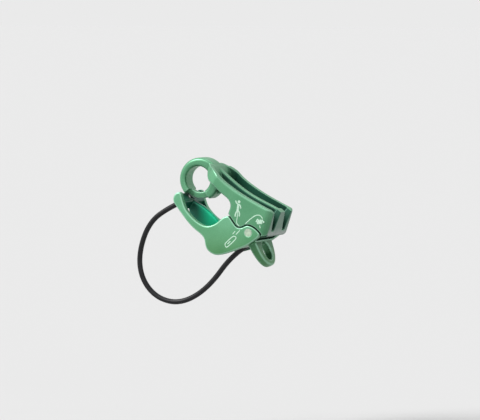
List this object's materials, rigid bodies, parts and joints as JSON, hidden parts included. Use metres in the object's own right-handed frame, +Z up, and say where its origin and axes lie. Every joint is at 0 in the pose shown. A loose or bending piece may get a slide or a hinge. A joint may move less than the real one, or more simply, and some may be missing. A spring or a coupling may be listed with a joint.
{
  "type": "assisted braking belay device",
  "caption": "Forged two-slot belay device with a ring eye, a hinged lever that pinches the ropes, V-grooves at the rope end, a release eye and a keeper cable loop",
  "frame": {"origin": "centre of the anchor eye's round hole, in the middle plane between the side plates", "axes": "+Z up as the device hangs in use; +X from the anchor eye towards the rope end, which hangs 33 degrees below it; +Y from the near side plate to the far one, along the eye's hole and the pivot"},
  "size_m": [0.0906, 0.034, 0.0847],
  "materials": {
    "body_green": "deep green anodised forging, satin",
    "lever_green": "lighter green anodised forging, satin",
    "rivet_steel": "satin, flush riveted end",
    "ferrule_steel": "swaged, satin",
    "sheath_black": "smooth extruded plastic",
    "core_steel": "stranded steel"
  },
  "bodies": {
    "body": {"slot_body": "body_green"},
    "lever": {"brake_lever": "lever_green", "pivot_rivet": "rivet_steel", "keeper_ferrule_upper": "ferrule_steel", "keeper_ferrule_lower": "ferrule_steel", "keeper_sheath": "sheath_black", "keeper_core": "core_steel"}
  },
  "joints": [
    {"name": "lever_pivot", "type": "hinge", "parent": "body", "child": "lever", "pos_m": [0.03595, 0, -0.02896], "axis": [0, -1, 0], "range_deg": [0, 6]}
  ]
}
